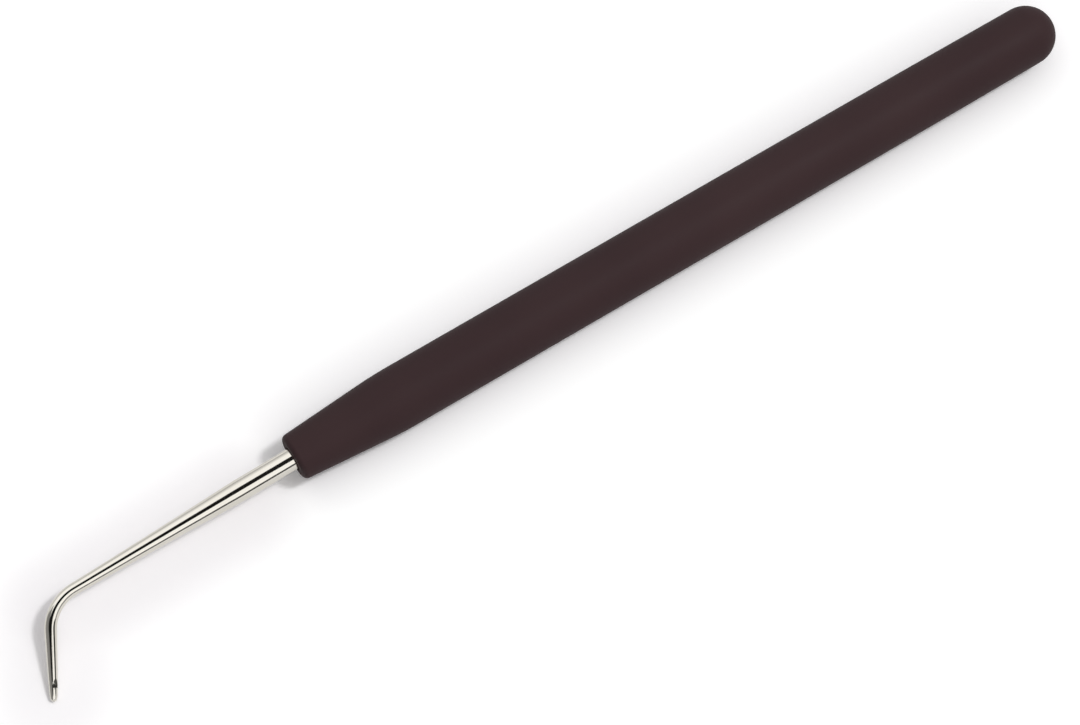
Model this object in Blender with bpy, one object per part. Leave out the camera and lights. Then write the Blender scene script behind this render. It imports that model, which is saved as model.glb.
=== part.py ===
"""Bent-tip crochet hook: a steel hook held in a rigid core under a soft moulded grip.

The tool lies on its handle, as on a table, with the tip of the bent leg touching the surface.
+X runs along the handle to its domed rear end, the leg points to -Y and down, and +Z is up.
The origin is the centre of the underside of the tool's bounding box. Lengths are in metres.
"""

import math

import bmesh
import bpy
from mathutils import Matrix, Vector

MM = 0.001

# Wire: it leaves the grip's front face with a slight lean, tapers to the bend and then to the tip
STOCK_DIAMETER = 3.15 * MM
STOCK_LENGTH = 8.5 * MM
WIRE_LEAN = math.radians(0.76)
SHANK_REACH = 38.2 * MM
BEND_RADIUS = 6.3 * MM
BEND_ANGLE = math.radians(63.0)
BEND_DIAMETER = 1.72 * MM
LEG_LENGTH = 13.15 * MM
TIP_DIAMETER = 0.96 * MM
TAPER_POWER = 1.2
NOSE_POWER = 0.6
STEP_POWER = 1.5

# Throat: a shallow notch in the upper side of the leg, measured from the end of the tip
HEAD_LENGTH = 1.85 * MM
THROAT_LENGTH = 1.3 * MM
THROAT_FLOOR = 0.35 * MM
THROAT_DEPTH = 0.12 * MM
THROAT_UNDERCUT = 0.06 * MM
THROAT_TURN = math.radians(30.0)

# Tang: the wire's end inside the core, swaged flat so that it cannot turn or pull out
TANG_DEPTH = 42.0 * MM
TANG_CHAMFER = 0.4 * MM
SWAGE_SETBACK = 9.0 * MM
SWAGE_LENGTH = 9.0 * MM
SWAGE_RAMP = 1.8 * MM
SWAGE_SPREAD = 0.45 * MM
SWAGE_SQUEEZE = 0.35 * MM

# Core: walls round the tang's bore, at the nose and along the barrel
NOSE_WALL = 0.425 * MM
BARREL_WALL = 1.225 * MM
GROOVE_COUNT = 4
GROOVE_WIDTH = 2.0 * MM
GROOVE_DEPTH = 0.6 * MM
GROOVE_MARGIN = 20.0 * MM

# Grip: an even wall round the core, with a front lip, a cone, a barrel and a dome
GRIP_LENGTH = 127.75 * MM
GRIP_WALL = 1.1 * MM
LIP_LENGTH = 4.0 * MM
LIP_RADIUS = 0.8 * MM
CONE_LENGTH = 15.5 * MM
KNEE_REACH = 2.0 * MM
REAR_DRAFT = 0.08 * MM
REAR_DRAFT_LENGTH = 18.0 * MM
REST_FLAT_DEPTH = 0.14 * MM

# Clearances between pieces
TANG_GAP = 0.3 * MM
CORE_GAP = 0.3 * MM
LIP_GAP = 0.2 * MM
CUT_OVERRUN = 0.5 * MM

# Facets and steps
GRIP_SIDES = 28
WIRE_SIDES = 20
DOME_STEPS = 9
LIP_STEPS = 4
KNEE_STEPS = 4
TAPER_STEPS = 9
BEND_STEPS = 10
LEG_STEPS = 6
TIP_STEPS = 5
SMOOTH_ANGLE = math.radians(32.0)
WELD_SHARE = 0.0002

# Colours
STEEL_COLOUR = (0.78, 0.75, 0.69)
NYLON_COLOUR = (0.02, 0.02, 0.022)
GRIP_COLOUR = (0.047, 0.029, 0.031)

# Sizes that follow from those above
WIRE_RADIUS = STOCK_DIAMETER / 2
BEND_GIRTH = BEND_DIAMETER / 2
TIP_RADIUS = TIP_DIAMETER / 2
SETBACK = BEND_RADIUS * math.tan((BEND_ANGLE - WIRE_LEAN) / 2)
TAPER_LENGTH = SHANK_REACH - SETBACK - STOCK_LENGTH
LEG_RUN = LEG_LENGTH - SETBACK - TIP_RADIUS
NOSE_RADIUS = WIRE_RADIUS + TANG_GAP + NOSE_WALL
CORE_RADIUS = WIRE_RADIUS + TANG_GAP + BARREL_WALL
CONE_SLOPE = (CORE_RADIUS - NOSE_RADIUS) / (CONE_LENGTH - LIP_LENGTH)
GRIP_RADIUS = CORE_RADIUS + CORE_GAP + GRIP_WALL
FACE_RADIUS = GRIP_RADIUS - CONE_SLOPE * CONE_LENGTH
REAR_RADIUS = GRIP_RADIUS - REAR_DRAFT
DOME_START = GRIP_LENGTH - REAR_RADIUS
REST_HEIGHT = GRIP_RADIUS - REST_FLAT_DEPTH

ORIGIN = Vector((0.0, 0.0, 0.0))
TOOL_AXIS = Vector((1.0, 0.0, 0.0))
UP = Vector((0.0, 0.0, 1.0))


def clear_scene():
    """Remove every object that the scene already holds."""
    for obj in list(bpy.data.objects):
        bpy.data.objects.remove(obj, do_unlink=True)


def make_material(name, colour, roughness, metallic):
    """Return a Principled material of one colour."""
    material = bpy.data.materials.new(name)
    material.use_nodes = True
    shader = material.node_tree.nodes["Principled BSDF"]
    shader.inputs["Base Color"].default_value = (*colour, 1.0)
    shader.inputs["Roughness"].default_value = roughness
    shader.inputs["Metallic"].default_value = metallic
    return material


def make_object(name, bm, material=None):
    """Turn a bmesh into an object with outward faces and smooth round surfaces."""
    bmesh.ops.recalc_face_normals(bm, faces=bm.faces)
    mesh = bpy.data.meshes.new(name)
    bm.to_mesh(mesh)
    bm.free()
    mesh.shade_smooth()
    mesh.set_sharp_from_angle(angle=SMOOTH_ANGLE)
    obj = bpy.data.objects.new(name, mesh)
    bpy.context.scene.collection.objects.link(obj)
    if material:
        mesh.materials.append(material)
    return obj


def make_cutter(name, bm):
    """Turn a bmesh into a shape that only cuts another one."""
    cutter = make_object(name, bm)
    cutter.hide_render = True
    cutter.display_type = "WIRE"
    return cutter


def cut(obj, cutter):
    """Take the cutter's shape out of the object."""
    modifier = obj.modifiers.new(cutter.name, "BOOLEAN")
    modifier.operation = "DIFFERENCE"
    modifier.object = cutter


def arc(centre, radius, start, end, steps):
    """Return points (along, out) on an arc, from the start angle to the end angle."""
    points = []
    for step in range(steps + 1):
        angle = start + (end - start) * step / steps
        points.append((centre[0] + radius * math.cos(angle), centre[1] + radius * math.sin(angle)))
    return points


def turned(outline):
    """Turn an outline of points (along, out) about the tool's axis.

    Each flat, not each corner, lies at the outline's distance from the axis. One flat faces down.
    """
    half_facet = math.pi / GRIP_SIDES
    stretch = 1.0 / math.cos(half_facet)
    bm = bmesh.new()
    verts = [bm.verts.new((along, 0.0, out * stretch)) for along, out in outline]
    edges = [bm.edges.new(pair) for pair in zip(verts, verts[1:])]
    turn = Matrix.Rotation(half_facet, 3, "X")
    bmesh.ops.rotate(bm, verts=verts, cent=ORIGIN, matrix=turn)
    spun = verts + edges
    bmesh.ops.spin(bm, geom=spun, cent=ORIGIN, axis=TOOL_AXIS, angle=math.tau, steps=GRIP_SIDES)
    bmesh.ops.remove_doubles(bm, verts=bm.verts, dist=STOCK_DIAMETER * WELD_SHARE)
    return bm


def skinned(rings):
    """Join rings into one skin, closed at both ends.

    Each ring is (centre, direction of travel, side direction, half width, half thickness), where
    the width is measured along the side direction.
    """
    bm = bmesh.new()
    loops = []
    for centre, travel, side, wide, thick in rings:
        over = travel.cross(side)
        columns = (side * wide, over * thick, travel)
        place = Matrix.Translation(centre) @ Matrix(columns).transposed().to_4x4()
        circle = bmesh.ops.create_circle(bm, segments=WIRE_SIDES, radius=1.0, matrix=place)
        loops.append(circle["verts"])
    for near, far in zip(loops, loops[1:]):
        for i in range(WIRE_SIDES):
            j = (i + 1) % WIRE_SIDES
            bm.faces.new((near[i], near[j], far[j], far[i]))
    bm.faces.new(loops[0])
    bm.faces.new(loops[-1])
    return bm


def core_outline(growth):
    """Return the core's outline, front to rear, grown on all sides by a clearance."""
    barrel = CORE_RADIUS + growth
    floor = barrel - GROOVE_DEPTH
    outline = [(LIP_LENGTH - growth, NOSE_RADIUS + growth), (CONE_LENGTH, barrel)]
    first = CONE_LENGTH + GROOVE_MARGIN
    last = DOME_START - GROOVE_MARGIN
    pitch = (last - first) / (GROOVE_COUNT - 1)
    for groove in range(GROOVE_COUNT):
        middle = first + pitch * groove
        front = middle - GROOVE_WIDTH / 2 + growth
        rear = middle + GROOVE_WIDTH / 2 - growth
        outline += [(front, barrel), (front, floor), (rear, floor), (rear, barrel)]
    outline += arc((DOME_START, 0.0), barrel, math.pi / 2, 0.0, DOME_STEPS)
    return outline


def knee_points():
    """Return the soft knee between the cone and the barrel, as a curve round their corner."""
    start = Vector((CONE_LENGTH - KNEE_REACH, GRIP_RADIUS - CONE_SLOPE * KNEE_REACH))
    corner = Vector((CONE_LENGTH, GRIP_RADIUS))
    end = Vector((CONE_LENGTH + KNEE_REACH, GRIP_RADIUS))
    points = []
    for step in range(KNEE_STEPS + 1):
        share = step / KNEE_STEPS
        points.append(tuple(start.lerp(corner, share).lerp(corner.lerp(end, share), share)))
    return points


def grip_outline():
    """Return the grip's outer outline, from its front face to the end of its dome."""
    lip_centre = (LIP_RADIUS, FACE_RADIUS - LIP_RADIUS)
    outline = arc(lip_centre, LIP_RADIUS, math.pi, math.pi / 2, LIP_STEPS)
    outline += knee_points()
    outline.append((DOME_START - REAR_DRAFT_LENGTH, GRIP_RADIUS))
    outline += arc((DOME_START, 0.0), REAR_RADIUS, math.pi / 2, 0.0, DOME_STEPS)
    return outline


def build_rest_cutter():
    """Make the block that cuts the narrow flat on which the handle rests without rolling."""
    length = GRIP_LENGTH + CUT_OVERRUN * 2
    height = REST_FLAT_DEPTH + CUT_OVERRUN
    centre = TOOL_AXIS * GRIP_LENGTH / 2 - UP * (REST_HEIGHT + height / 2)
    place = Matrix.Translation(centre) @ Matrix.Diagonal((length, GRIP_RADIUS * 2, height, 1.0))
    bm = bmesh.new()
    bmesh.ops.create_cube(bm, size=1.0, matrix=place)
    return make_cutter("rest_flat", bm)


def build_grip(material):
    """Make the soft grip: round outside with a flat underneath, hollow and open at the front."""
    bore = WIRE_RADIUS + LIP_GAP
    cavity = core_outline(CORE_GAP)
    mouth = [(cavity[0][0], bore), (0.0, bore)]
    outline = cavity[::-1] + mouth + grip_outline()
    grip = make_object("grip_sleeve", turned(outline), material)
    cutter = build_rest_cutter()
    cut(grip, cutter)
    return grip, cutter


def build_core(material):
    """Make the rigid core, with a blind bore that follows the tang."""
    outline = [(LIP_LENGTH, 0.0)] + core_outline(0.0)
    core = make_object("handle_core", turned(outline), material)
    bore = WIRE_RADIUS + TANG_GAP
    stations = [(LIP_LENGTH - CUT_OVERRUN, bore, bore)] + tang_stations(TANG_GAP)
    cutter = make_cutter("tang_bore", skinned(tang_rings(stations)))
    cut(core, cutter)
    return core, cutter


def tang_stations(growth):
    """Return (along, half width, half thickness) down the tang, grown by a clearance."""
    stock = WIRE_RADIUS + growth
    wide = stock + SWAGE_SPREAD
    thick = stock - SWAGE_SQUEEZE
    swage_end = TANG_DEPTH - SWAGE_SETBACK + growth
    swage_start = TANG_DEPTH - SWAGE_SETBACK - SWAGE_LENGTH - growth
    end = TANG_DEPTH + growth
    return [
        (swage_start, stock, stock),
        (swage_start + SWAGE_RAMP, wide, thick),
        (swage_end - SWAGE_RAMP, wide, thick),
        (swage_end, stock, stock),
        (end - TANG_CHAMFER, stock, stock),
        (end, stock - TANG_CHAMFER, stock - TANG_CHAMFER),
    ]


def tang_rings(stations):
    """Return the rings across the tang's stations; its width lies in the plane of the bend."""
    across = leg_frame()[1]
    return [(TOOL_AXIS * along, TOOL_AXIS, across, wide, thick) for along, wide, thick in stations]


def leg_frame():
    """Return the leg's direction, and the one square to the tool's axis in the bend's plane.

    The bend's plane is rolled about the tool's axis until the tip touches the surface on which
    the handle lies.
    """
    drop = REST_HEIGHT - TIP_RADIUS
    reach = (LEG_LENGTH - TIP_RADIUS) * math.sin(BEND_ANGLE)
    reach += SHANK_REACH * math.sin(WIRE_LEAN)
    roll = math.asin(drop / reach)
    across = Vector((0.0, -math.cos(roll), -math.sin(roll)))
    return bend_direction(across, BEND_ANGLE), across


def bend_direction(across, turn):
    """Return the wire's direction when it has turned by an angle from the tool's axis."""
    return across * math.sin(turn) - TOOL_AXIS * math.cos(turn)


def taper_girth(run_left):
    """Return the wire's radius where this run of taper is left before the bend."""
    return BEND_GIRTH + (WIRE_RADIUS - BEND_GIRTH) * (run_left / TAPER_LENGTH) ** TAPER_POWER


def leg_girth(run_left):
    """Return the leg's radius where this run is left before the centre of the tip."""
    return TIP_RADIUS + (BEND_GIRTH - TIP_RADIUS) * (run_left / LEG_RUN) ** NOSE_POWER


def shank_stations():
    """Return (centre, direction, radius) along the bare wire, from the grip's face to the tip."""
    leg, across = leg_frame()
    shank = bend_direction(across, WIRE_LEAN)
    corner = shank * SHANK_REACH
    taper_end = corner - shank * SETBACK
    bend_centre = taper_end + bend_direction(across, WIRE_LEAN + math.pi / 2) * BEND_RADIUS
    leg_start = corner + leg * SETBACK
    tip_centre = leg_start + leg * LEG_RUN
    stations = [(ORIGIN, shank, WIRE_RADIUS)]
    for step in range(TAPER_STEPS):
        left = TAPER_LENGTH * (1.0 - step / TAPER_STEPS)
        stations.append((taper_end - shank * left, shank, taper_girth(left)))
    for step in range(BEND_STEPS + 1):
        turn = WIRE_LEAN + (BEND_ANGLE - WIRE_LEAN) * step / BEND_STEPS
        spoke = bend_direction(across, turn - math.pi / 2)
        travel = bend_direction(across, turn)
        stations.append((bend_centre + spoke * BEND_RADIUS, travel, BEND_GIRTH))
    for step in range(1, LEG_STEPS + 1):
        left = LEG_RUN * (1.0 - step / LEG_STEPS) ** STEP_POWER
        stations.append((tip_centre - leg * left, leg, leg_girth(left)))
    for step in range(1, TIP_STEPS):
        angle = math.pi / 2 * step / TIP_STEPS
        centre = tip_centre + leg * TIP_RADIUS * math.sin(angle)
        stations.append((centre, leg, TIP_RADIUS * math.cos(angle)))
    return stations


def build_throat_cutter():
    """Make the wedge that cuts the throat into the upper side of the leg.

    The throat opens upwards, turned a little to the inner side of the bend.
    """
    leg, across = leg_frame()
    shank = bend_direction(across, WIRE_LEAN)
    inner = bend_direction(across, BEND_ANGLE + math.pi / 2)
    over = across.cross(TOOL_AXIS) * math.cos(THROAT_TURN) + inner * math.sin(THROAT_TURN)
    tip_end = shank * SHANK_REACH + leg * LEG_LENGTH
    floor = leg_girth(HEAD_LENGTH - TIP_RADIUS) - THROAT_DEPTH
    rise = leg_girth(HEAD_LENGTH + THROAT_LENGTH - TIP_RADIUS) - floor
    climb = BEND_GIRTH + CUT_OVERRUN - floor
    foot = HEAD_LENGTH - THROAT_UNDERCUT
    ramp_foot = HEAD_LENGTH + THROAT_FLOOR
    ramp_run = THROAT_LENGTH - THROAT_FLOOR
    outline = [
        (foot + THROAT_UNDERCUT * climb / THROAT_DEPTH, floor + climb),
        (foot, floor),
        (ramp_foot, floor),
        (ramp_foot + ramp_run * climb / rise, floor + climb),
    ]
    sideways = leg.cross(over) * (BEND_DIAMETER + CUT_OVERRUN)
    bm = bmesh.new()
    verts = []
    for back, height in outline:
        verts.append(bm.verts.new(tip_end - leg * back + over * height - sideways))
    face = bm.faces.new(verts)
    pulled = bmesh.ops.extrude_face_region(bm, geom=[face])
    moved = [item for item in pulled["geom"] if isinstance(item, bmesh.types.BMVert)]
    bmesh.ops.translate(bm, verts=moved, vec=sideways * 2)
    return make_cutter("throat_wedge", bm)


def build_hook(material):
    """Make the steel hook in one piece: tang, stock, taper, bend, leg, throat and tip."""
    across = leg_frame()[1]
    over = across.cross(TOOL_AXIS)
    rings = tang_rings(tang_stations(0.0))[::-1]
    rings = [(centre, -travel, side, wide, thick) for centre, travel, side, wide, thick in rings]
    for centre, travel, radius in shank_stations():
        rings.append((centre, travel, over.cross(travel), radius, radius))
    hook = make_object("hook_shank", skinned(rings), material)
    cutter = build_throat_cutter()
    cut(hook, cutter)
    return hook, cutter


def make_tool_frame(objects):
    """Return an empty that puts the underside's centre on the origin."""
    corners = [vert.co for obj in objects for vert in obj.data.vertices]
    middle = []
    for axis in range(2):
        places = [corner[axis] for corner in corners]
        middle.append((min(places) + max(places)) / 2)
    frame = bpy.data.objects.new("tool_frame", None)
    frame.empty_display_size = GRIP_RADIUS
    frame.location = UP * REST_HEIGHT - Vector((*middle, 0.0))
    bpy.context.scene.collection.objects.link(frame)
    return frame


def main():
    """Build the tool."""
    clear_scene()
    steel = make_material("nickel_plated_steel", STEEL_COLOUR, roughness=0.16, metallic=1.0)
    nylon = make_material("black_nylon", NYLON_COLOUR, roughness=0.5, metallic=0.0)
    soft = make_material("soft_touch_grip", GRIP_COLOUR, roughness=0.62, metallic=0.0)
    hook, throat_wedge = build_hook(steel)
    core, tang_bore = build_core(nylon)
    grip, rest_flat = build_grip(soft)
    frame = make_tool_frame([hook, grip])
    for obj in (hook, throat_wedge, core, tang_bore, grip, rest_flat):
        obj.parent = frame


main()
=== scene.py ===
"""Looks of a bent-tip crochet hook: a polished steel hook in a soft-grip handle, on a pale table.

The handle lies along +X with its front face towards -X, and the tip of the bent leg touches the
table. Lengths are in metres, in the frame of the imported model.
"""

import logging
import math
from contextlib import contextmanager
from dataclasses import dataclass, field
from enum import Enum
from typing import Callable, Iterator

import bmesh
import bpy
from mathutils import Matrix, Vector


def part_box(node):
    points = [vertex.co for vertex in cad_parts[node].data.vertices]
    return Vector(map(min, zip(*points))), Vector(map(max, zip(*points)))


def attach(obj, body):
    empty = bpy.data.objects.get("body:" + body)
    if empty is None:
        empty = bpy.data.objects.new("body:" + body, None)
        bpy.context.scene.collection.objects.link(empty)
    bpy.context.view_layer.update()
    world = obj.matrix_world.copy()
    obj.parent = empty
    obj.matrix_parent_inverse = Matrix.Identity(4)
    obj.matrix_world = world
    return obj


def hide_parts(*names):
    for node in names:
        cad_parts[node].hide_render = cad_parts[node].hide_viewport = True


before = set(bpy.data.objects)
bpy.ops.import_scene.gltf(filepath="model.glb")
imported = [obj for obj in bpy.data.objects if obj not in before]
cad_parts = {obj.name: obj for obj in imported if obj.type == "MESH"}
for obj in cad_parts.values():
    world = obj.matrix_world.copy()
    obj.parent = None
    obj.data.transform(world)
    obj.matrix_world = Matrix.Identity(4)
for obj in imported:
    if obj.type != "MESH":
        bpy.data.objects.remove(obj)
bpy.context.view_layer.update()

LOG = logging.getLogger("crochet_hook")

MM = 0.001
WELD = 0.0004 * MM  # corners closer than this are one
CREASE_ANGLE = math.radians(35.0)  # edges sharper than this stay crisp
PATTERN_LOW = 0.3  # nearly all of a noise pattern lies between this
PATTERN_HIGH = 0.7  # and this
X_AXIS = Vector((1.0, 0.0, 0.0))
Y_AXIS = Vector((0.0, 1.0, 0.0))
Z_AXIS = Vector((0.0, 0.0, 1.0))

Outline = list[tuple[float, float]]
Colour = tuple[float, float, float]
Socket = bpy.types.NodeSocket


class Node(Enum):
    """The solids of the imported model."""

    HOOK = "hook_shank"
    CORE = "handle_core"
    GRIP = "grip_sleeve"


class Slot(Enum):
    """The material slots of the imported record."""

    STEEL = "nickel_plated_steel"
    NYLON = "black_nylon"
    SOFT = "soft_touch_grip"


class Seen(Enum):
    """Kinds of ray for which a studio surface can look different."""

    CAMERA = "Is Camera Ray"
    GLOSSY = "Is Glossy Ray"
    THROUGH = "Is Transmission Ray"


@dataclass(frozen=True)
class ToolPlace:
    """Where the handle lies: its front face and its axis."""

    front: float
    axis_y: float
    axis_z: float

    @classmethod
    def from_grip(cls, grip_radius: float) -> "ToolPlace":
        """Read the handle's place from the box of the grip.

        Args:
            grip_radius: Radius of the handle's barrel.

        Returns:
            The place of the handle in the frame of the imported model.
        """
        low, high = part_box(Node.GRIP.value)
        return cls(low.x, (low.y + high.y) / 2, high.z - grip_radius)

    def on_axis(self, along: float) -> Vector:
        """Return the point on the handle's axis that lies this far behind the front face."""
        return Vector((self.front + along, self.axis_y, self.axis_z))


# Modelling by hand: selection, edit mode and the moves that shape a ring


def deselect_all() -> None:
    """Leave nothing selected, so that an operator only acts on what is picked next."""
    bpy.ops.object.select_all(action="DESELECT")


def pick(*objects: bpy.types.Object) -> None:
    """Select these objects alone and make the last of them active."""
    deselect_all()
    for obj in objects:
        obj.select_set(True)
    bpy.context.view_layer.objects.active = objects[-1]


@contextmanager
def editing(piece: bpy.types.Object) -> Iterator[bpy.types.Object]:
    """Open a piece in edit mode, and close it again when the work on it is done.

    Args:
        piece: The mesh object to work on.

    Yields:
        The same object, in edit mode.
    """
    pick(piece)
    bpy.ops.object.mode_set(mode="EDIT")
    try:
        yield piece
    finally:
        bpy.ops.object.mode_set(mode="OBJECT")


def select_edges(piece: bpy.types.Object, test: Callable[[bmesh.types.BMEdge], bool]) -> int:
    """Select the edges of a piece in edit mode that pass a test, and nothing else.

    Args:
        piece: The object in edit mode.
        test: Tells whether an edge is wanted.

    Returns:
        The number of edges selected.
    """
    bpy.ops.mesh.select_mode(type="EDGE")
    bpy.ops.mesh.select_all(action="DESELECT")
    bm = bmesh.from_edit_mesh(piece.data)
    wanted = [edge for edge in bm.edges if test(edge)]
    for edge in wanted:
        edge.select_set(True)
    bmesh.update_edit_mesh(piece.data)
    return len(wanted)


def add_ring(
    name: str, centre: Vector, radius: float, sides: int, capped: bool
) -> bpy.types.Object:
    """Add a ring square to the handle's axis, with its place in its mesh.

    Args:
        name: Name of the new object.
        centre: Centre of the ring.
        radius: Radius of the ring.
        sides: Number of its corners.
        capped: Whether a face closes it.

    Returns:
        The new object, in object mode.
    """
    deselect_all()
    fill = "NGON" if capped else "NOTHING"
    turned = (0.0, math.pi / 2, 0.0)
    bpy.ops.mesh.primitive_circle_add(
        vertices=sides, radius=radius, fill_type=fill, location=centre, rotation=turned
    )
    piece = bpy.context.active_object
    piece.name = piece.data.name = name
    bpy.ops.object.transform_apply(location=True, rotation=True, scale=True)
    return piece


def draw_out(step: Vector) -> None:
    """Extrude what is selected in edit mode by a step."""
    bpy.ops.mesh.extrude_region_move(
        TRANSFORM_OT_translate={"value": tuple(step), "orient_type": "GLOBAL"}
    )


def swell(centre: Vector, shares: tuple[float, float, float]) -> None:
    """Resize what is selected in edit mode about a centre."""
    bpy.ops.transform.resize(value=shares, center_override=tuple(centre))


def swing(centre: Vector, angle: float, axis: str) -> None:
    """Turn what is selected in edit mode about a centre, counter-clockwise round an axis."""
    bpy.ops.transform.rotate(value=-angle, orient_axis=axis, center_override=tuple(centre))


def tidy_skin(piece: bpy.types.Object) -> None:
    """Merge doubles all over a piece and turn its faces outwards.

    Args:
        piece: The object to tidy, in object mode.
    """
    with editing(piece):
        bpy.ops.mesh.select_all(action="SELECT")
        bpy.ops.mesh.remove_doubles(threshold=WELD)
        bpy.ops.mesh.normals_make_consistent(inside=False)


def smooth(piece: bpy.types.Object) -> None:
    """Shade a piece smooth, apart from its creases and the edges that are marked sharp."""
    pick(piece)
    bpy.ops.object.shade_smooth_by_angle(angle=CREASE_ANGLE, keep_sharp_edges=True)


def arc(
    centre: tuple[float, float], radius: float, start: float, end: float, steps: int
) -> Outline:
    """Return points (along, out) on an arc, both ends included.

    Args:
        centre: Centre of the arc.
        radius: Its radius.
        start: Angle of the first point.
        end: Angle of the last point.
        steps: Number of steps between the ends.

    Returns:
        The points from the start to the end.
    """
    angles = [start + (end - start) * step / steps for step in range(steps + 1)]
    return [
        (centre[0] + radius * math.cos(angle), centre[1] + radius * math.sin(angle))
        for angle in angles
    ]


# Finishes


@dataclass(frozen=True)
class Pattern:
    """A noise pattern: its number of features to a metre and of finer layers."""

    scale: float
    detail: float


@dataclass(frozen=True)
class Relief:
    """How a pattern raises a surface: the share that shows, and the height of a value of 1."""

    strength: float
    height: float


class Shelf:
    """A node tree that is filled node by node."""

    def __init__(self, tree: bpy.types.NodeTree) -> None:
        """Empty the tree and start filling it."""
        self.tree = tree
        tree.nodes.clear()

    def add(self, kind: str, **settings: object) -> bpy.types.Node:
        """Add a node and set it up.

        Args:
            kind: Name of the kind of node.
            **settings: Values of the node's own properties.

        Returns:
            The new node.
        """
        node = self.tree.nodes.new(kind)
        for name, value in settings.items():
            setattr(node, name, value)
        return node

    def join(self, source: Socket, target: Socket) -> None:
        """Link an output to an input."""
        self.tree.links.new(source, target)

    def noise(self, place: Socket, pattern: Pattern) -> Socket:
        """Add a noise pattern and return its value.

        Args:
            place: Coordinates that the pattern reads.
            pattern: Scale and detail of the pattern.

        Returns:
            The socket with the pattern's value, from 0 to 1.
        """
        node = self.add("ShaderNodeTexNoise")
        node.inputs["Scale"].default_value = pattern.scale
        node.inputs["Detail"].default_value = pattern.detail
        self.join(place, node.inputs["Vector"])
        return node.outputs["Fac"]

    def spread(self, value: Socket, low: float = 0.0, high: float = 1.0) -> Socket:
        """Map a pattern's middle range onto two limits and return the result.

        Args:
            value: Value of a pattern, from 0 to 1.
            low: Result where the pattern is low.
            high: Result where the pattern is high.

        Returns:
            The socket with the mapped value.
        """
        node = self.add("ShaderNodeMapRange")
        node.inputs["From Min"].default_value = PATTERN_LOW
        node.inputs["From Max"].default_value = PATTERN_HIGH
        node.inputs["To Min"].default_value = low
        node.inputs["To Max"].default_value = high
        self.join(value, node.inputs["Value"])
        return node.outputs["Result"]

    def ease(self, value: Socket, start: float, end: float, top: float = 1.0) -> Socket:
        """Rise softly from 0 to a top while a value goes from one limit to another.

        Args:
            value: Value to follow.
            start: Value at which the result is 0.
            end: Value at which the result is the top.
            top: Highest result.

        Returns:
            The socket with the eased value.
        """
        node = self.add("ShaderNodeMapRange", interpolation_type="SMOOTHSTEP")
        node.inputs["From Min"].default_value = start
        node.inputs["From Max"].default_value = end
        node.inputs["To Max"].default_value = top
        self.join(value, node.inputs["Value"])
        return node.outputs["Result"]

    def work_out(self, operation: str, first: Socket, second: Socket) -> Socket:
        """Work out one value from two others.

        Args:
            operation: Name of the sum, such as SUBTRACT or MAXIMUM.
            first: First value.
            second: Second value.

        Returns:
            The socket with the result.
        """
        node = self.add("ShaderNodeMath", operation=operation)
        self.join(first, node.inputs[0])
        self.join(second, node.inputs[1])
        return node.outputs["Value"]

    def tint(self, share: Socket, low: Colour | Socket, high: Colour | Socket) -> Socket:
        """Blend two colours by a share and return the result.

        Args:
            share: Share of the second colour.
            low: First colour, plain or from another node.
            high: Second colour, plain or from another node.

        Returns:
            The socket with the blended colour.
        """
        node = self.add("ShaderNodeMix", data_type="RGBA")
        inputs = [socket for socket in node.inputs if socket.type == "RGBA"]
        for socket, colour in zip(inputs, (low, high)):
            if isinstance(colour, tuple):
                socket.default_value = (*colour, 1.0)
            else:
                self.join(colour, socket)
        self.join(share, node.inputs[0])
        return next(socket for socket in node.outputs if socket.type == "RGBA")

    def bump(self, height: Socket, relief: Relief) -> Socket:
        """Turn a height into a bump and return its normal.

        Args:
            height: Height of the surface, from 0 to 1.
            relief: How far the height raises the surface.

        Returns:
            The socket with the normal.
        """
        node = self.add("ShaderNodeBump")
        node.inputs["Strength"].default_value = relief.strength
        node.inputs["Distance"].default_value = relief.height
        self.join(height, node.inputs["Height"])
        return node.outputs["Normal"]

    def cover(self, shader: Socket, output: str = "ShaderNodeOutputMaterial") -> None:
        """Let a shader be what the tree gives, through a kind of output."""
        self.join(shader, self.add(output).inputs["Surface"])


def grey(tone: float) -> Colour:
    """Return the grey of a tone."""
    return (tone, tone, tone)


def new_material(name: str) -> tuple[bpy.types.Material, Shelf]:
    """Return a new node material and the shelf that fills it."""
    material = bpy.data.materials.new(name)
    material.use_nodes = True
    return material, Shelf(material.node_tree)


def shade(shelf: Shelf, **values: object) -> bpy.types.Node:
    """Add the surface shader and its output.

    Args:
        shelf: The material's node tree.
        **values: Uniform values of the shader's sockets, with _ for each space in their names.

    Returns:
        The shader's node.
    """
    shader = shelf.add("ShaderNodeBsdfPrincipled")
    for name, value in values.items():
        shader.inputs[name.replace("_", " ")].default_value = value
    shelf.cover(shader.outputs["BSDF"])
    return shader


def lay_on(piece: bpy.types.Object, material: bpy.types.Material) -> None:
    """Give a piece one material all over."""
    piece.data.materials.clear()
    piece.data.materials.append(material)


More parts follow.
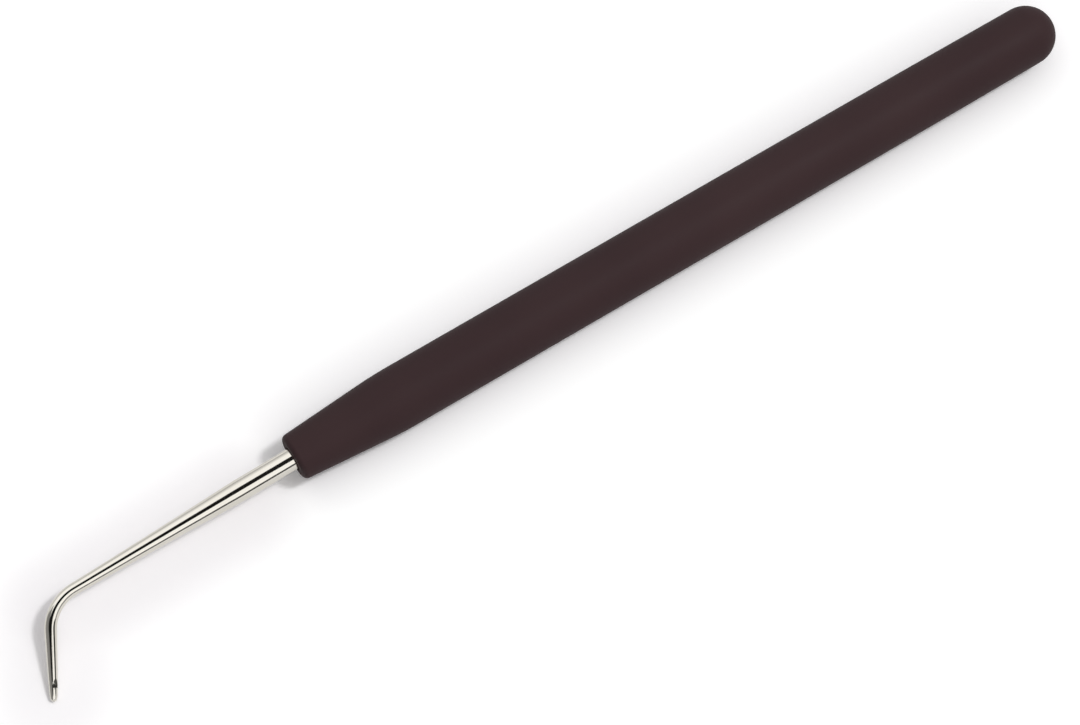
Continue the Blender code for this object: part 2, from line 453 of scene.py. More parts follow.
@dataclass(frozen=True)
class SoftTouchFinish:
    """Matt soft-touch elastomer: dark aubergine brown, with a fine grain and a faint bloom."""

    deep: Colour = (0.0432, 0.0243, 0.0262)
    pale: Colour = (0.0502, 0.0287, 0.0303)
    gloss: float = 0.06
    roughness: tuple[float, float] = (0.50, 0.58)
    blotches: Pattern = Pattern(scale=55.0, detail=3.0)
    rubbing: Pattern = Pattern(scale=220.0, detail=4.0)
    grain: Pattern = Pattern(scale=5200.0, detail=2.0)
    grain_relief: Relief = Relief(strength=0.5, height=0.004 * MM)

    def material(self) -> bpy.types.Material:
        """Build the material of the soft grip."""
        material, shelf = new_material("soft_touch_elastomer")
        place = shelf.add("ShaderNodeTexCoord").outputs["Object"]
        shader = shade(shelf, Specular_IOR_Level=self.gloss)
        blotches = shelf.noise(place, self.blotches)
        colour = shelf.tint(shelf.spread(blotches), self.deep, self.pale)
        shelf.join(colour, shader.inputs["Base Color"])
        rubbed = shelf.noise(place, self.rubbing)
        shelf.join(shelf.spread(rubbed, *self.roughness), shader.inputs["Roughness"])
        grain = shelf.noise(place, self.grain)
        shelf.join(shelf.bump(grain, self.grain_relief), shader.inputs["Normal"])
        return material


@dataclass(frozen=True)
class NickelFinish:
    """Polished warm nickel plate on drawn wire, with faint polishing lines along the wire."""

    bright: Colour = (0.80, 0.768, 0.702)
    warm: Colour = (0.77, 0.735, 0.662)
    roughness: tuple[float, float] = (0.055, 0.095)
    clouds: Pattern = Pattern(scale=140.0, detail=2.0)
    lines: Pattern = Pattern(scale=5000.0, detail=3.0)
    line_stretch: float = 0.012
    line_relief: Relief = Relief(strength=0.35, height=0.0006 * MM)

    def material(self, place_name: str) -> bpy.types.Material:
        """Build the material of the steel hook.

        Args:
            place_name: Name of the piece's own attribute with each point's place along the wire.

        Returns:
            The material.
        """
        material, shelf = new_material("polished_nickel")
        shader = shade(shelf, Metallic=1.0)
        place = shelf.add("ShaderNodeAttribute", attribute_name=place_name).outputs["Vector"]
        drawn = shelf.add("ShaderNodeMapping")
        drawn.inputs["Scale"].default_value = (self.line_stretch, 1.0, 1.0)
        shelf.join(place, drawn.inputs["Vector"])
        lines = shelf.noise(drawn.outputs["Vector"], self.lines)
        clouds = shelf.noise(place, self.clouds)
        colour = shelf.tint(shelf.spread(clouds), self.bright, self.warm)
        shelf.join(colour, shader.inputs["Base Color"])
        shelf.join(shelf.spread(lines, *self.roughness), shader.inputs["Roughness"])
        shelf.join(shelf.bump(lines, self.line_relief), shader.inputs["Normal"])
        return material


@dataclass(frozen=True)
class NylonFinish:
    """Plain moulded black nylon with a fine spark-eroded grain."""

    dark: Colour = (0.017, 0.017, 0.019)
    light: Colour = (0.024, 0.024, 0.026)
    roughness: float = 0.5
    grain: Pattern = Pattern(scale=3500.0, detail=3.0)
    grain_relief: Relief = Relief(strength=0.4, height=0.01 * MM)

    def material(self) -> bpy.types.Material:
        """Build the material of the rigid core."""
        material, shelf = new_material("moulded_nylon")
        shader = shade(shelf, Roughness=self.roughness)
        place = shelf.add("ShaderNodeTexCoord").outputs["Object"]
        grain = shelf.noise(place, self.grain)
        colour = shelf.tint(shelf.spread(grain), self.dark, self.light)
        shelf.join(colour, shader.inputs["Base Color"])
        shelf.join(shelf.bump(grain, self.grain_relief), shader.inputs["Normal"])
        return material


# Pieces


@dataclass
class SoftGrip:
    """The soft moulded grip: lip, cone, knee, barrel and dome outside, ribs inside."""

    place: ToolPlace
    length: float = 127.75 * MM
    radius: float = 4.5 * MM
    cone_length: float = 15.5 * MM
    cone_slope: float = 0.8 / 11.5
    lip_radius: float = 0.8 * MM
    knee_reach: float = 2.0 * MM
    rear_draft: float = 0.08 * MM
    rear_draft_length: float = 18.0 * MM
    mouth_radius: float = 1.775 * MM
    mouth_round: float = 0.1 * MM
    lip_depth: float = 3.7 * MM
    nose_radius: float = 2.6 * MM
    cavity_radius: float = 3.4 * MM
    rib_count: int = 4
    rib_width: float = 1.4 * MM
    rib_height: float = 0.6 * MM
    rib_margin: float = 20.0 * MM
    level_margin: float = 1e-5
    sides: int = 96
    mouth_steps: int = 4
    lip_steps: int = 10
    knee_steps: int = 10
    dome_steps: int = 28
    finish: SoftTouchFinish = field(default_factory=SoftTouchFinish)

    @property
    def dome_start(self) -> float:
        """Distance from the front face to the centre of the dome."""
        return self.length - (self.radius - self.rear_draft)

    def outside(self) -> Outline:
        """Return the outer outline, from the mouth round the lip to the end of the dome."""
        face_radius = self.radius - self.cone_slope * self.cone_length
        quarter = math.pi / 2
        mouth = (self.mouth_round, self.mouth_radius + self.mouth_round)
        outline = arc(mouth, self.mouth_round, -quarter, -2 * quarter, self.mouth_steps)
        lip = (self.lip_radius, face_radius - self.lip_radius)
        outline += arc(lip, self.lip_radius, 2 * quarter, quarter, self.lip_steps)
        outline += self.knee()
        outline.append((self.dome_start - self.rear_draft_length, self.radius))
        dome_radius = self.radius - self.rear_draft
        outline += arc((self.dome_start, 0.0), dome_radius, quarter, 0.0, self.dome_steps)
        return outline

    def knee(self) -> Outline:
        """Return the soft knee between the cone and the barrel."""
        drop = self.cone_slope * self.knee_reach
        start = Vector((self.cone_length - self.knee_reach, self.radius - drop))
        corner = Vector((self.cone_length, self.radius))
        end = Vector((self.cone_length + self.knee_reach, self.radius))
        points = []
        for step in range(self.knee_steps + 1):
            share = step / self.knee_steps
            points.append(tuple(start.lerp(corner, share).lerp(corner.lerp(end, share), share)))
        return points

    def inside(self) -> Outline:
        """Return the inner outline, from the mouth along the bore to the end of the cavity."""
        outline = [
            (self.mouth_round, self.mouth_radius),
            (self.lip_depth, self.mouth_radius),
            (self.lip_depth, self.nose_radius),
            (self.cone_length, self.cavity_radius),
        ]
        first = self.cone_length + self.rib_margin
        last = self.dome_start - self.rib_margin
        crest = self.cavity_radius - self.rib_height
        for rib in range(self.rib_count):
            middle = first + (last - first) * rib / (self.rib_count - 1)
            front = middle - self.rib_width / 2
            rear = middle + self.rib_width / 2
            outline += [(front, self.cavity_radius), (front, crest)]
            outline += [(rear, crest), (rear, self.cavity_radius)]
        centre = (self.dome_start, 0.0)
        outline += arc(centre, self.cavity_radius, math.pi / 2, 0.0, self.dome_steps // 2)
        return outline

    def follow(self, outline: Outline) -> None:
        """Draw the selected ring along an outline and close it where the outline meets the axis.

        Args:
            outline: Points (along, out); the selected ring lies at the first of them.
        """
        for (along, out), (next_along, next_out) in zip(outline, outline[1:]):
            share = max(next_out, WELD) / out
            draw_out(X_AXIS * (next_along - along))
            swell(self.place.on_axis(next_along), (1.0, share, share))
        bpy.ops.mesh.merge(type="CENTER")

    def at_mouth(self, edge: bmesh.types.BMEdge) -> bool:
        """Tell whether an edge is part of the open ring at the mouth of the bore."""
        return len(edge.link_faces) == 1

    def on_table(self, edge: bmesh.types.BMEdge) -> bool:
        """Tell whether an edge borders the flat on which the handle rests."""
        level = all(abs(vert.co.z) < WELD for vert in edge.verts)
        steepest = self.level_margin - 1.0
        return level and any(face.normal.z > steepest for face in edge.link_faces)

    def flatten_underside(self, grip: bpy.types.Object) -> None:
        """Cut the narrow flat on which the handle rests, and keep its edges crisp."""
        with editing(grip):
            bpy.ops.mesh.select_all(action="SELECT")
            bpy.ops.mesh.bisect(
                plane_co=(0.0, 0.0, 0.0),
                plane_no=(0.0, 0.0, -1.0),
                use_fill=True,
                clear_outer=True,
                threshold=WELD,
            )
            if select_edges(grip, self.on_table):
                bpy.ops.mesh.mark_sharp()

    def build(self) -> bpy.types.Object:
        """Model the grip as one closed skin and dress it.

        Returns:
            The finished grip.
        """
        outside = self.outside()
        start = self.place.on_axis(outside[0][0])
        grip = add_ring("soft_grip", start, outside[0][1], self.sides, capped=False)
        with editing(grip):
            bpy.ops.mesh.select_all(action="SELECT")
            self.follow(outside)
            select_edges(grip, self.at_mouth)
            self.follow(self.inside())
        tidy_skin(grip)
        self.flatten_underside(grip)
        smooth(grip)
        lay_on(grip, self.finish.material())
        return grip


@dataclass
class SteelHook:
    """The steel hook in one piece: tang, stock, taper, bend, leg, throat and tip.

    The wire leaves the handle with a slight lean towards the leg.
    """

    place: ToolPlace
    stock_diameter: float = 3.15 * MM
    stock_length: float = 8.5 * MM
    shank_reach: float = 38.2 * MM
    wire_lean: float = math.radians(0.76)
    bend_radius: float = 6.3 * MM
    bend_angle: float = math.radians(63.0)
    bend_diameter: float = 1.72 * MM
    leg_length: float = 13.15 * MM
    tip_diameter: float = 0.96 * MM
    taper_power: float = 1.2
    nose_power: float = 0.6
    head_length: float = 1.85 * MM
    throat_length: float = 1.3 * MM
    throat_floor: float = 0.35 * MM
    throat_depth: float = 0.12 * MM
    throat_undercut: float = 0.06 * MM
    throat_turn: float = math.radians(30.0)
    rim_angle: float = math.radians(18.0)
    rim_softening: float = 0.035 * MM
    rim_segments: int = 3
    tang_depth: float = 42.0 * MM
    tang_chamfer: float = 0.4 * MM
    swage_setback: float = 9.0 * MM
    swage_length: float = 9.0 * MM
    swage_ramp: float = 1.8 * MM
    swage_spread: float = 0.45 * MM
    swage_squeeze: float = 0.35 * MM
    cut_overrun: float = 0.5 * MM
    sides: int = 64
    taper_steps: int = 30
    bend_steps: int = 36
    leg_steps: int = 20
    leg_spacing: float = 1.5
    tip_steps: int = 12
    wire_place: str = "wire_place"
    finish: NickelFinish = field(default_factory=NickelFinish)

    @property
    def setback(self) -> float:
        """Distance from the corner of the bend to either end of its curve."""
        return self.bend_radius * math.tan((self.bend_angle - self.wire_lean) / 2)

    @property
    def bend_run(self) -> float:
        """Length of wire in the bend."""
        return self.bend_radius * (self.bend_angle - self.wire_lean)

    @property
    def leg_run(self) -> float:
        """Length of the straight leg, from the bend to the centre of the tip."""
        return self.leg_length - self.setback - self.tip_diameter / 2

    @property
    def taper_run(self) -> float:
        """Length of the straight part of the taper, from the stock to the start of the bend."""
        return self.shank_reach - self.setback - self.stock_length

    @property
    def roll(self) -> float:
        """Angle by which the bend is rolled about the handle's axis, down to the table."""
        drop = self.place.axis_z - self.tip_diameter / 2
        reach = (self.leg_length - self.tip_diameter / 2) * math.sin(self.bend_angle)
        reach += self.shank_reach * math.sin(self.wire_lean)
        return math.asin(drop / reach)

    @property
    def face(self) -> Vector:
        """Point where the wire leaves the handle."""
        return self.place.on_axis(0.0)

    @property
    def corner(self) -> Vector:
        """Corner of the bend while the hook lies flat, where shank and leg would meet."""
        return self.face + self.heading(self.wire_lean) * self.shank_reach

    @property
    def bend_start(self) -> Vector:
        """Start of the bend's curve while the hook lies flat."""
        return self.corner - self.heading(self.wire_lean) * self.setback

    @property
    def bend_centre(self) -> Vector:
        """Centre of the bend's curve while the hook lies flat."""
        return self.bend_start + self.inner_side(self.wire_lean) * self.bend_radius

    @property
    def tip_end(self) -> Vector:
        """End of the rounded tip while the hook lies flat."""
        return self.corner + self.heading(self.bend_angle) * self.leg_length

    def heading(self, turn: float) -> Vector:
        """Return the wire's direction, while flat, when it has turned by an angle."""
        return -X_AXIS * math.cos(turn) - Y_AXIS * math.sin(turn)

    def inner_side(self, turn: float) -> Vector:
        """Return the direction to the inner side of the bend when the wire has turned so far."""
        return self.heading(turn + math.pi / 2)

    def taper_girth(self, run_left: float) -> float:
        """Return the wire's radius where this run of taper is left before the bend."""
        end = self.bend_diameter / 2
        share = run_left / self.taper_run
        return end + (self.stock_diameter / 2 - end) * share**self.taper_power

    def leg_girth(self, run_left: float) -> float:
        """Return the leg's radius where this run is left before the centre of the tip."""
        tip = self.tip_diameter / 2
        share = run_left / self.leg_run
        return tip + (self.bend_diameter / 2 - tip) * share**self.nose_power

    def tang_stations(self) -> list[tuple[float, float, float]]:
        """Return (along, half width, half thickness) from the tang's end to the handle's face."""
        stock = self.stock_diameter / 2
        wide = stock + self.swage_spread
        thick = stock - self.swage_squeeze
        end = stock - self.tang_chamfer
        swage_end = self.tang_depth - self.swage_setback
        swage_start = swage_end - self.swage_length
        return [
            (self.tang_depth, end, end),
            (self.tang_depth - self.tang_chamfer, stock, stock),
            (swage_end, stock, stock),
            (swage_end - self.swage_ramp, wide, thick),
            (swage_start + self.swage_ramp, wide, thick),
            (swage_start, stock, stock),
            (0.0, stock, stock),
        ]

    def draw_tang(self) -> None:
        """Draw the selected ring forwards along the swaged tang, up to the handle's face."""
        stations = self.tang_stations()
        for (along, wide, thick), (to, next_wide, next_thick) in zip(stations, stations[1:]):
            draw_out(X_AXIS * (to - along))
            swell(self.place.on_axis(to), (1.0, next_wide / wide, next_thick / thick))

    def draw_shank(self) -> None:
        """Lean the selected ring and draw it along the stock and the taper, up to the bend."""
        ahead = self.heading(self.wire_lean)
        swing(self.face, self.wire_lean, "Z")
        draw_out(ahead * self.stock_length)
        run = self.taper_run / self.taper_steps
        radius = self.stock_diameter / 2
        for step in range(1, self.taper_steps + 1):
            slimmer = self.taper_girth(self.taper_run - run * step)
            centre = self.face + ahead * (self.stock_length + run * step)
            self.step_to(ahead * run, centre, slimmer / radius)
            radius = slimmer

    def draw_bend(self) -> None:
        """Draw the selected ring round the bend."""
        turn = (self.bend_angle - self.wire_lean) / self.bend_steps
        for _ in range(self.bend_steps):
            draw_out(Vector())
            swing(self.bend_centre, turn, "Z")

    def draw_leg(self) -> None:
        """Draw the selected ring down the leg, up to the centre of the tip."""
        leg = self.heading(self.bend_angle)
        centre = self.corner + leg * self.setback
        radius = self.bend_diameter / 2
        drawn = 0.0
        for step in range(1, self.leg_steps + 1):
            share = step / self.leg_steps
            reached = self.leg_run * (1.0 - (1.0 - share) ** self.leg_spacing)
            slimmer = self.leg_girth(self.leg_run - reached)
            self.step_to(leg * (reached - drawn), centre + leg * reached, slimmer / radius)
            radius, drawn = slimmer, reached

    def draw_tip(self) -> None:
        """Draw the selected ring round the tip and close it at the tip's end."""
        leg = self.heading(self.bend_angle)
        tip_radius = self.tip_diameter / 2
        centre = self.tip_end - leg * tip_radius
        radius, reached = tip_radius, 0.0
        for step in range(1, self.tip_steps):
            angle = math.pi / 2 * step / self.tip_steps
            ahead = tip_radius * math.sin(angle)
            slimmer = tip_radius * math.cos(angle)
            self.step_to(leg * (ahead - reached), centre + leg * ahead, slimmer / radius)
            radius, reached = slimmer, ahead
        draw_out(leg * (tip_radius - reached))
        bpy.ops.mesh.merge(type="CENTER")

    def step_to(self, step: Vector, centre: Vector, share: float) -> None:
        """Draw the selected ring on by a step and resize it evenly about its new centre."""
        draw_out(step)
        swell(centre, (share, share, share))

    def place_on_wire(self, point: Vector) -> tuple[float, float, float]:
        """Return a point's place on the wire as if the wire were straight.

        Args:
            point: Point on the hook while it lies flat.

        Returns:
            Its place along the wire, towards the inner side of the bend, and above the axis.
        """
        ahead = self.heading(self.wire_lean)
        before = self.shank_reach - self.setback
        spoke = point - self.bend_centre
        turned = math.atan2(-spoke.x, spoke.y)
        if (point - self.bend_start).dot(ahead) <= 0.0:
            along = (point - self.face).dot(ahead)
            side = (point - self.face).dot(self.inner_side(self.wire_lean))
        elif self.wire_lean <= turned <= self.bend_angle:
            along = before + self.bend_radius * (turned - self.wire_lean)
            side = self.bend_radius - math.hypot(spoke.x, spoke.y)
        else:
            down_leg = (point - self.corner).dot(self.heading(self.bend_angle))
            along = before + self.bend_run + down_leg - self.setback
            side = (point - self.corner).dot(self.inner_side(self.bend_angle))
        return along, side, point.z - self.place.axis_z

    def note_wire_place(self, hook: bpy.types.Object) -> None:
        """Keep each point's place on the straightened wire in the mesh, for the finish.

        Args:
            hook: The hook while it still lies flat.
        """
        places = []
        for vert in hook.data.vertices:
            places.extend(self.place_on_wire(vert.co))
        attribute = hook.data.attributes.new(self.wire_place, "FLOAT_VECTOR", "POINT")
        attribute.data.foreach_set("vector", places)

    def throat_profile(self) -> Outline:
        """Return the corners of the throat's cut, as (behind the tip's end, above the axis)."""
        tip_radius = self.tip_diameter / 2
        throat_end = self.head_length + self.throat_length
        floor = self.leg_girth(self.head_length - tip_radius) - self.throat_depth
        rise = self.leg_girth(throat_end - tip_radius) - floor
        climb = self.bend_diameter / 2 + self.cut_overrun - floor
        foot = self.head_length - self.throat_undercut
        ramp_foot = self.head_length + self.throat_floor
        ramp_run = self.throat_length - self.throat_floor
        return [
            (foot + self.throat_undercut * climb / self.throat_depth, floor + climb),
            (foot, floor),
            (ramp_foot, floor),
            (ramp_foot + ramp_run * climb / rise, floor + climb),
        ]

    def throat_wedge(self) -> bpy.types.Object:
        """Model the wedge that cuts the throat into the upper side of the leg.

        Returns:
            The wedge, in object mode.
        """
        leg = self.heading(self.bend_angle)
        open_side = Z_AXIS * math.cos(self.throat_turn)
        open_side += self.inner_side(self.bend_angle) * math.sin(self.throat_turn)
        sideways = leg.cross(open_side) * (self.bend_diameter + self.cut_overrun)
        deselect_all()
        bpy.ops.mesh.primitive_plane_add(size=1.0)
        wedge = bpy.context.active_object
        wedge.name = "throat_wedge"
        round_the_plane = (0, 1, 3, 2)
        for index, (back, height) in zip(round_the_plane, self.throat_profile()):
            corner = self.tip_end - leg * back + open_side * height
            wedge.data.vertices[index].co = corner - sideways
        with editing(wedge):
            bpy.ops.mesh.select_all(action="SELECT")
            draw_out(sideways * 2)
            bpy.ops.mesh.select_all(action="SELECT")
            bpy.ops.mesh.normals_make_consistent(inside=False)
        return wedge

    def on_rim(self, edge: bmesh.types.BMEdge) -> bool:
        """Tell whether an edge is one of the throat's sharp ones."""
        reach = self.head_length + self.throat_length + self.tip_diameter
        near = all((vert.co - self.tip_end).length < reach for vert in edge.verts)
        return near and edge.calc_face_angle(0.0) > self.rim_angle

    def cut_throat(self, hook: bpy.types.Object) -> None:
        """Cut the throat and take the sharpness off its edges."""
        wedge = self.throat_wedge()
        pick(hook)
        cut = hook.modifiers.new("throat", "BOOLEAN")
        cut.operation = "DIFFERENCE"
        cut.solver = "EXACT"
        cut.object = wedge
        bpy.ops.object.modifier_apply(modifier=cut.name)
        bpy.data.objects.remove(wedge, do_unlink=True)
        tidy_skin(hook)
        with editing(hook):
            if select_edges(hook, self.on_rim):
                bpy.ops.mesh.bevel(
                    offset=self.rim_softening,
                    segments=self.rim_segments,
                    affect="EDGES",
                    clamp_overlap=True,
                    harden_normals=True,
                )
        tidy_skin(hook)

    def build(self) -> bpy.types.Object:
        """Model the hook as one closed skin, flat at first, then rolled to its place.

        Returns:
            The finished hook.
        """
        depth, end_radius, _ = self.tang_stations()[0]
        start = self.place.on_axis(depth)
        hook = add_ring("steel_hook", start, end_radius, self.sides, capped=True)
        with editing(hook):
            bpy.ops.mesh.select_mode(type="FACE")
            bpy.ops.mesh.select_all(action="SELECT")
            self.draw_tang()
            self.draw_shank()
            self.draw_bend()
            self.draw_leg()
            self.draw_tip()
        tidy_skin(hook)
        self.cut_throat(hook)
        self.note_wire_place(hook)
        with editing(hook):
            bpy.ops.mesh.select_all(action="SELECT")
            swing(self.face, self.roll, "X")
        smooth(hook)
        lay_on(hook, self.finish.material(self.wire_place))
        return hook


@dataclass
class HandleCore:
    """The rigid core inside the grip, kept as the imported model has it."""

    finish: NylonFinish = field(default_factory=NylonFinish)

    def dress(self) -> bpy.types.Object:
        """Give the core its moulded finish and return it."""
        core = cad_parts[Node.CORE.value]
        lay_on(core, self.finish.material())
        return core


# Studio


@dataclass(frozen=True)
class StudioCard:
    """A glowing card near the table, level and black unless told otherwise, which shows in the
    steel.

    Its tones are those of its glow at its foot and at its head. A card that shades also keeps the
    room's light off what it faces, and lights it with its own glow.
    """

    name: str
    centre: tuple[float, float, float]
    size: tuple[float, float]
    turn: tuple[float, float, float] = (0.0, 0.0, 0.0)
    tones: tuple[float, float] = (0.01, 0.01)
    shades: bool = False

    def material(self) -> bpy.types.Material:
        """Build a glowing surface that blends from the tone at the foot to that at the head."""
        material, shelf = new_material(self.name)
        place = shelf.add("ShaderNodeTexCoord").outputs["Object"]
        split = shelf.add("ShaderNodeSeparateXYZ")
        shelf.join(place, split.inputs["Vector"])
        half = self.size[1] / 2 * abs(math.sin(self.turn[0]))
        foot, head = self.centre[2] - half, self.centre[2] + half + MM
        rise = shelf.ease(split.outputs["Z"], foot, head)
        foot_tone, head_tone = self.tones
        tone = shelf.tint(rise, grey(foot_tone), grey(head_tone))
        glow = shelf.add("ShaderNodeEmission")
        shelf.join(tone, glow.inputs["Color"])
        shelf.cover(glow.outputs["Emission"])
        return material

    def build(self) -> bpy.types.Object:
        """Put the card up and return it."""
        deselect_all()
        bpy.ops.mesh.primitive_plane_add(size=1.0, location=self.centre, rotation=self.turn)
        card = bpy.context.active_object
        card.name = card.data.name = self.name
        card.scale = (*self.size, 1.0)
        bpy.ops.object.transform_apply(location=True, rotation=True, scale=True)
        lay_on(card, self.material())
        card.visible_camera = False
        card.visible_diffuse = self.shades
        card.visible_shadow = False
        return card


def standing(quarter_turns: float) -> tuple[float, float, float]:
    """Return the turn of an upright card that faces the table after some quarter turns."""
    return (math.pi / 2, 0.0, math.pi / 2 * quarter_turns)


@dataclass(frozen=True)
class PaintedShadeStretch:
    """A stretch of the tool along which shade is painted into the table's colour."""

    start: tuple[float, float]
    end: tuple[float, float]
    depth: float

    def distance(self, shelf: Shelf, place: Socket) -> Socket:
        """Return each point's distance from the stretch.

        Args:
            shelf: The node tree of the table's material.
            place: Place of the point on the table.

        Returns:
            The socket with the distance.
        """
        run = Vector(self.end) - Vector(self.start)
        local = shelf.add("ShaderNodeMapping", vector_type="TEXTURE")
        local.inputs["Location"].default_value = (*self.start, 0.0)
        local.inputs["Rotation"].default_value = (0.0, 0.0, math.atan2(run.y, run.x))
        shelf.join(place, local.inputs["Vector"])
        split = shelf.add("ShaderNodeSeparateXYZ")
        shelf.join(local.outputs["Vector"], split.inputs["Vector"])
        nearest = shelf.add("ShaderNodeClamp")
        nearest.inputs["Max"].default_value = run.length
        shelf.join(split.outputs["X"], nearest.inputs["Value"])
        past = shelf.work_out("SUBTRACT", split.outputs["X"], nearest.outputs["Result"])
        step = shelf.add("ShaderNodeCombineXYZ")
        shelf.join(past, step.inputs["X"])
        shelf.join(split.outputs["Y"], step.inputs["Y"])
        length = shelf.add("ShaderNodeVectorMath", operation="LENGTH")
        shelf.join(step.outputs["Vector"], length.inputs[0])
        return length.outputs["Value"]


@dataclass(frozen=True)
class FarLight:
    """A far light: how bright it is and how wide it looks from the table."""

    name: str
    strength: float
    angle: float

    def build(self, direction: Vector) -> bpy.types.Object:
        """Hang the light.

        Args:
            direction: Direction from the table towards the light.

        Returns:
            The lamp.
        """
        light = bpy.data.lights.new(self.name, "SUN")
        light.energy = self.strength
        light.angle = self.angle
        lamp = bpy.data.objects.new(self.name, light)
        lamp.location = direction
        lamp.rotation_mode = "QUATERNION"
        lamp.rotation_quaternion = direction.to_track_quat("Z", "Y")
        bpy.context.scene.collection.objects.link(lamp)
        return lamp


@dataclass
class Studio:
    """A pale table in an even light, with a narrow and a wide light from the right.

    The near tone is the table's colour close to the tool, where shade is painted into the table.
    """

    table_size: float = 6.0
    table_drop: float = 0.02 * MM
    table_seen: float = 1.235
    table_mirrored: float = 0.93
    table_lit: float = 0.8
    ambient: float = 0.59
    surround: float = 1.15
    light_direction: tuple[float, float, float] = (0.525, -0.29, 1.0)
    lights: tuple[FarLight, ...] = (
        FarLight(name="key_light", strength=0.92, angle=math.radians(8.0)),
        FarLight(name="wide_light", strength=0.44, angle=math.radians(30.0)),
    )
    # Painted shade: close to these stretches of the tool the table's colour dims towards this
    # tone.
    painted_shade_tone: Colour = (0.998, 0.973, 0.995)
    painted_shade_reach: tuple[float, float] = (3.5 * MM, 14.5 * MM)
    painted_shade_stretches: tuple[PaintedShadeStretch, ...] = (
        PaintedShadeStretch(start=(-38.0 * MM, 6.0 * MM), end=(82.0 * MM, 6.0 * MM), depth=0.52),
        PaintedShadeStretch(start=(-79.0 * MM, 3.0 * MM), end=(-52.0 * MM, 3.5 * MM), depth=0.85),
        PaintedShadeStretch(start=(-80.0 * MM, 2.5 * MM), end=(-85.0 * MM, -6.5 * MM), depth=0.7),
    )
    cards: tuple[StudioCard, ...] = (
        StudioCard(name="card_above", centre=(-0.043, -0.066, 0.40), size=(0.514, 0.268)),
        StudioCard(name="card_corner", centre=(0.055, -0.217, 0.401), size=(0.11, 0.036)),
        StudioCard(
            name="card_front",
            centre=(0.3, -0.60, 0.120),
            size=(2.4, 0.20),
            turn=standing(0.0),
            tones=(0.06, 0.10),
        ),
        StudioCard(
            name="card_right",
            centre=(0.55, -0.22, 0.265),
            size=(1.0, 0.53),
            turn=standing(-1.0),
            tones=(0.03, 0.05),
        ),
        StudioCard(
            name="card_left",
            centre=(-0.80, 0.1, 0.75),
            size=(1.6, 1.50),
            turn=standing(1.0),
            tones=(0.30, 0.20),
            shades=True,
        ),
        StudioCard(
            name="card_back",
            centre=(0.0, 0.80, 0.40),
            size=(2.4, 0.80),
            turn=standing(2.0),
            tones=(0.52, 1.10),
        ),
    )

    def seen_directly(self, shelf: Shelf) -> Socket:
        """Return 1 for camera, mirror and see-through rays, and 0 for all others."""
        path = shelf.add("ShaderNodeLightPath").outputs
        seen = path[Seen.CAMERA.value]
        for kind in (Seen.GLOSSY, Seen.THROUGH):
            seen = shelf.work_out("MAXIMUM", seen, path[kind.value])
        return seen

    def painted_shade_colour(self, shelf: Shelf) -> Socket:
        """Return the table's colour to the camera, with painted shade close to the tool.

        Args:
            shelf: The node tree of the table's material.

        Returns:
            The socket with the colour.
        """
        place = shelf.add("ShaderNodeTexCoord").outputs["Object"]
        near, far = self.painted_shade_reach
        shares = [
            shelf.ease(painted_stretch.distance(shelf, place), far, near, painted_stretch.depth) for painted_stretch in self.painted_shade_stretches
        ]
        deepest = shares[0]
        for share in shares[1:]:
            deepest = shelf.work_out("MAXIMUM", deepest, share)
        # Painted shade, blended into the table's colour as the camera sees it.
        return shelf.tint(deepest, grey(self.table_seen), self.painted_shade_tone)

    def build_table(self) -> bpy.types.Object:
        """Lay the pale table under the tool and return it."""
        deselect_all()
        bpy.ops.mesh.primitive_plane_add(
            size=self.table_size, location=(0.0, 0.0, -self.table_drop)
        )
        table = bpy.context.active_object
        table.name = table.data.name = "pale_table"
        bpy.ops.object.transform_apply(location=True, rotation=True, scale=True)
        material, shelf = new_material("pale_table")
        path = shelf.add("ShaderNodeLightPath").outputs
        lit, mirrored = grey(self.table_lit), grey(self.table_mirrored)
        unseen = shelf.tint(path[Seen.GLOSSY.value], lit, mirrored)
        colour = shelf.tint(path[Seen.CAMERA.value], unseen, self.painted_shade_colour(shelf))
        surface = shelf.add("ShaderNodeBsdfDiffuse")
        shelf.join(colour, surface.inputs["Color"])
        shelf.cover(surface.outputs["BSDF"])
        lay_on(table, material)
        return table

    def build_world(self) -> None:
        """Fill the room with an even light, and show a white room in the steel."""
        world = bpy.data.worlds.new("white_room")
        world.use_nodes = True
        shelf = Shelf(world.node_tree)
        background = shelf.add("ShaderNodeBackground")
        seen = self.seen_directly(shelf)
        colour = shelf.tint(seen, grey(self.ambient), grey(self.surround))
        shelf.join(colour, background.inputs["Color"])
        shelf.cover(background.outputs["Background"], "ShaderNodeOutputWorld")
        bpy.context.scene.world = world

    def build(self) -> None:
        """Set up the table, the lights and the cards."""
        self.build_table()
        self.build_world()
        towards = Vector(self.light_direction).normalized()
        for light in self.lights:
            light.build(towards)
        for card in self.cards:
            card.build()
        bpy.context.scene.view_settings.view_transform = "Standard"


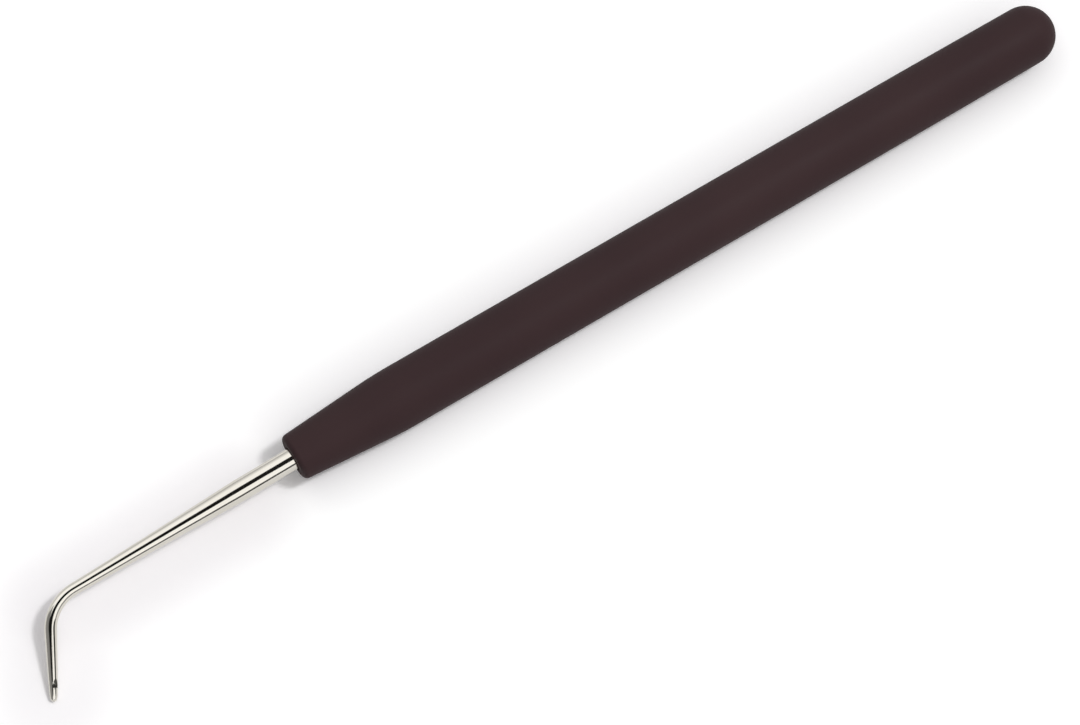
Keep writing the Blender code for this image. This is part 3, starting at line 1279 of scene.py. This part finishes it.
@dataclass(frozen=True)
class PhotoCamera:
    """The camera, above the front of the tool and looking down at it."""

    aim_past_face: tuple[float, float, float] = (36.335 * MM, -5.933 * MM, -0.008 * MM)
    distance: float = 416.8 * MM
    elevation: float = math.radians(68.0)
    azimuth: float = math.radians(32.77)
    tilt: float = math.radians(0.685)
    focal_length: float = 100.0
    sensor_width: float = 36.0
    nearest: float = 5.0 * MM
    farthest: float = 20.0

    def build(self, place: ToolPlace) -> bpy.types.Object:
        """Set up the camera.

        Args:
            place: Where the handle lies.

        Returns:
            The camera.
        """
        level = math.cos(self.elevation)
        back = Vector(
            (
                -level * math.sin(self.azimuth),
                -level * math.cos(self.azimuth),
                math.sin(self.elevation),
            )
        )
        flat_right = Vector((math.cos(self.azimuth), -math.sin(self.azimuth), 0.0))
        flat_up = back.cross(flat_right)
        right = flat_right * math.cos(self.tilt) + flat_up * math.sin(self.tilt)
        up = flat_up * math.cos(self.tilt) - flat_right * math.sin(self.tilt)
        data = bpy.data.cameras.new("photo_camera")
        data.lens = self.focal_length
        data.sensor_fit = "HORIZONTAL"
        data.sensor_width = self.sensor_width
        data.clip_start = self.nearest
        data.clip_end = self.farthest
        data.dof.use_dof = False
        camera = bpy.data.objects.new("photo_camera", data)
        turn = Matrix((right, up, back)).transposed().to_4x4()
        aim = place.on_axis(0.0) + Vector(self.aim_past_face)
        camera.matrix_world = Matrix.Translation(aim + back * self.distance) @ turn
        bpy.context.scene.collection.objects.link(camera)
        bpy.context.scene.camera = camera
        return camera


def main() -> None:
    """Build and dress the tool, then the studio round it."""
    logging.basicConfig(level=logging.INFO, format="%(name)s: %(message)s")
    place = ToolPlace.from_grip(SoftGrip.radius)
    PhotoCamera().build(place)

    grip = SoftGrip(place).build()
    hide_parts(Node.GRIP.value)
    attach(grip, "root")
    LOG.info("%s: %d faces", grip.name, len(grip.data.polygons))

    hook = SteelHook(place).build()
    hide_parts(Node.HOOK.value)
    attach(hook, "root")
    LOG.info("%s: %d faces", hook.name, len(hook.data.polygons))

    core = HandleCore().dress()
    LOG.info("%s: kept as packed", core.name)

    Studio().build()


if __name__ == "__main__":
    main()
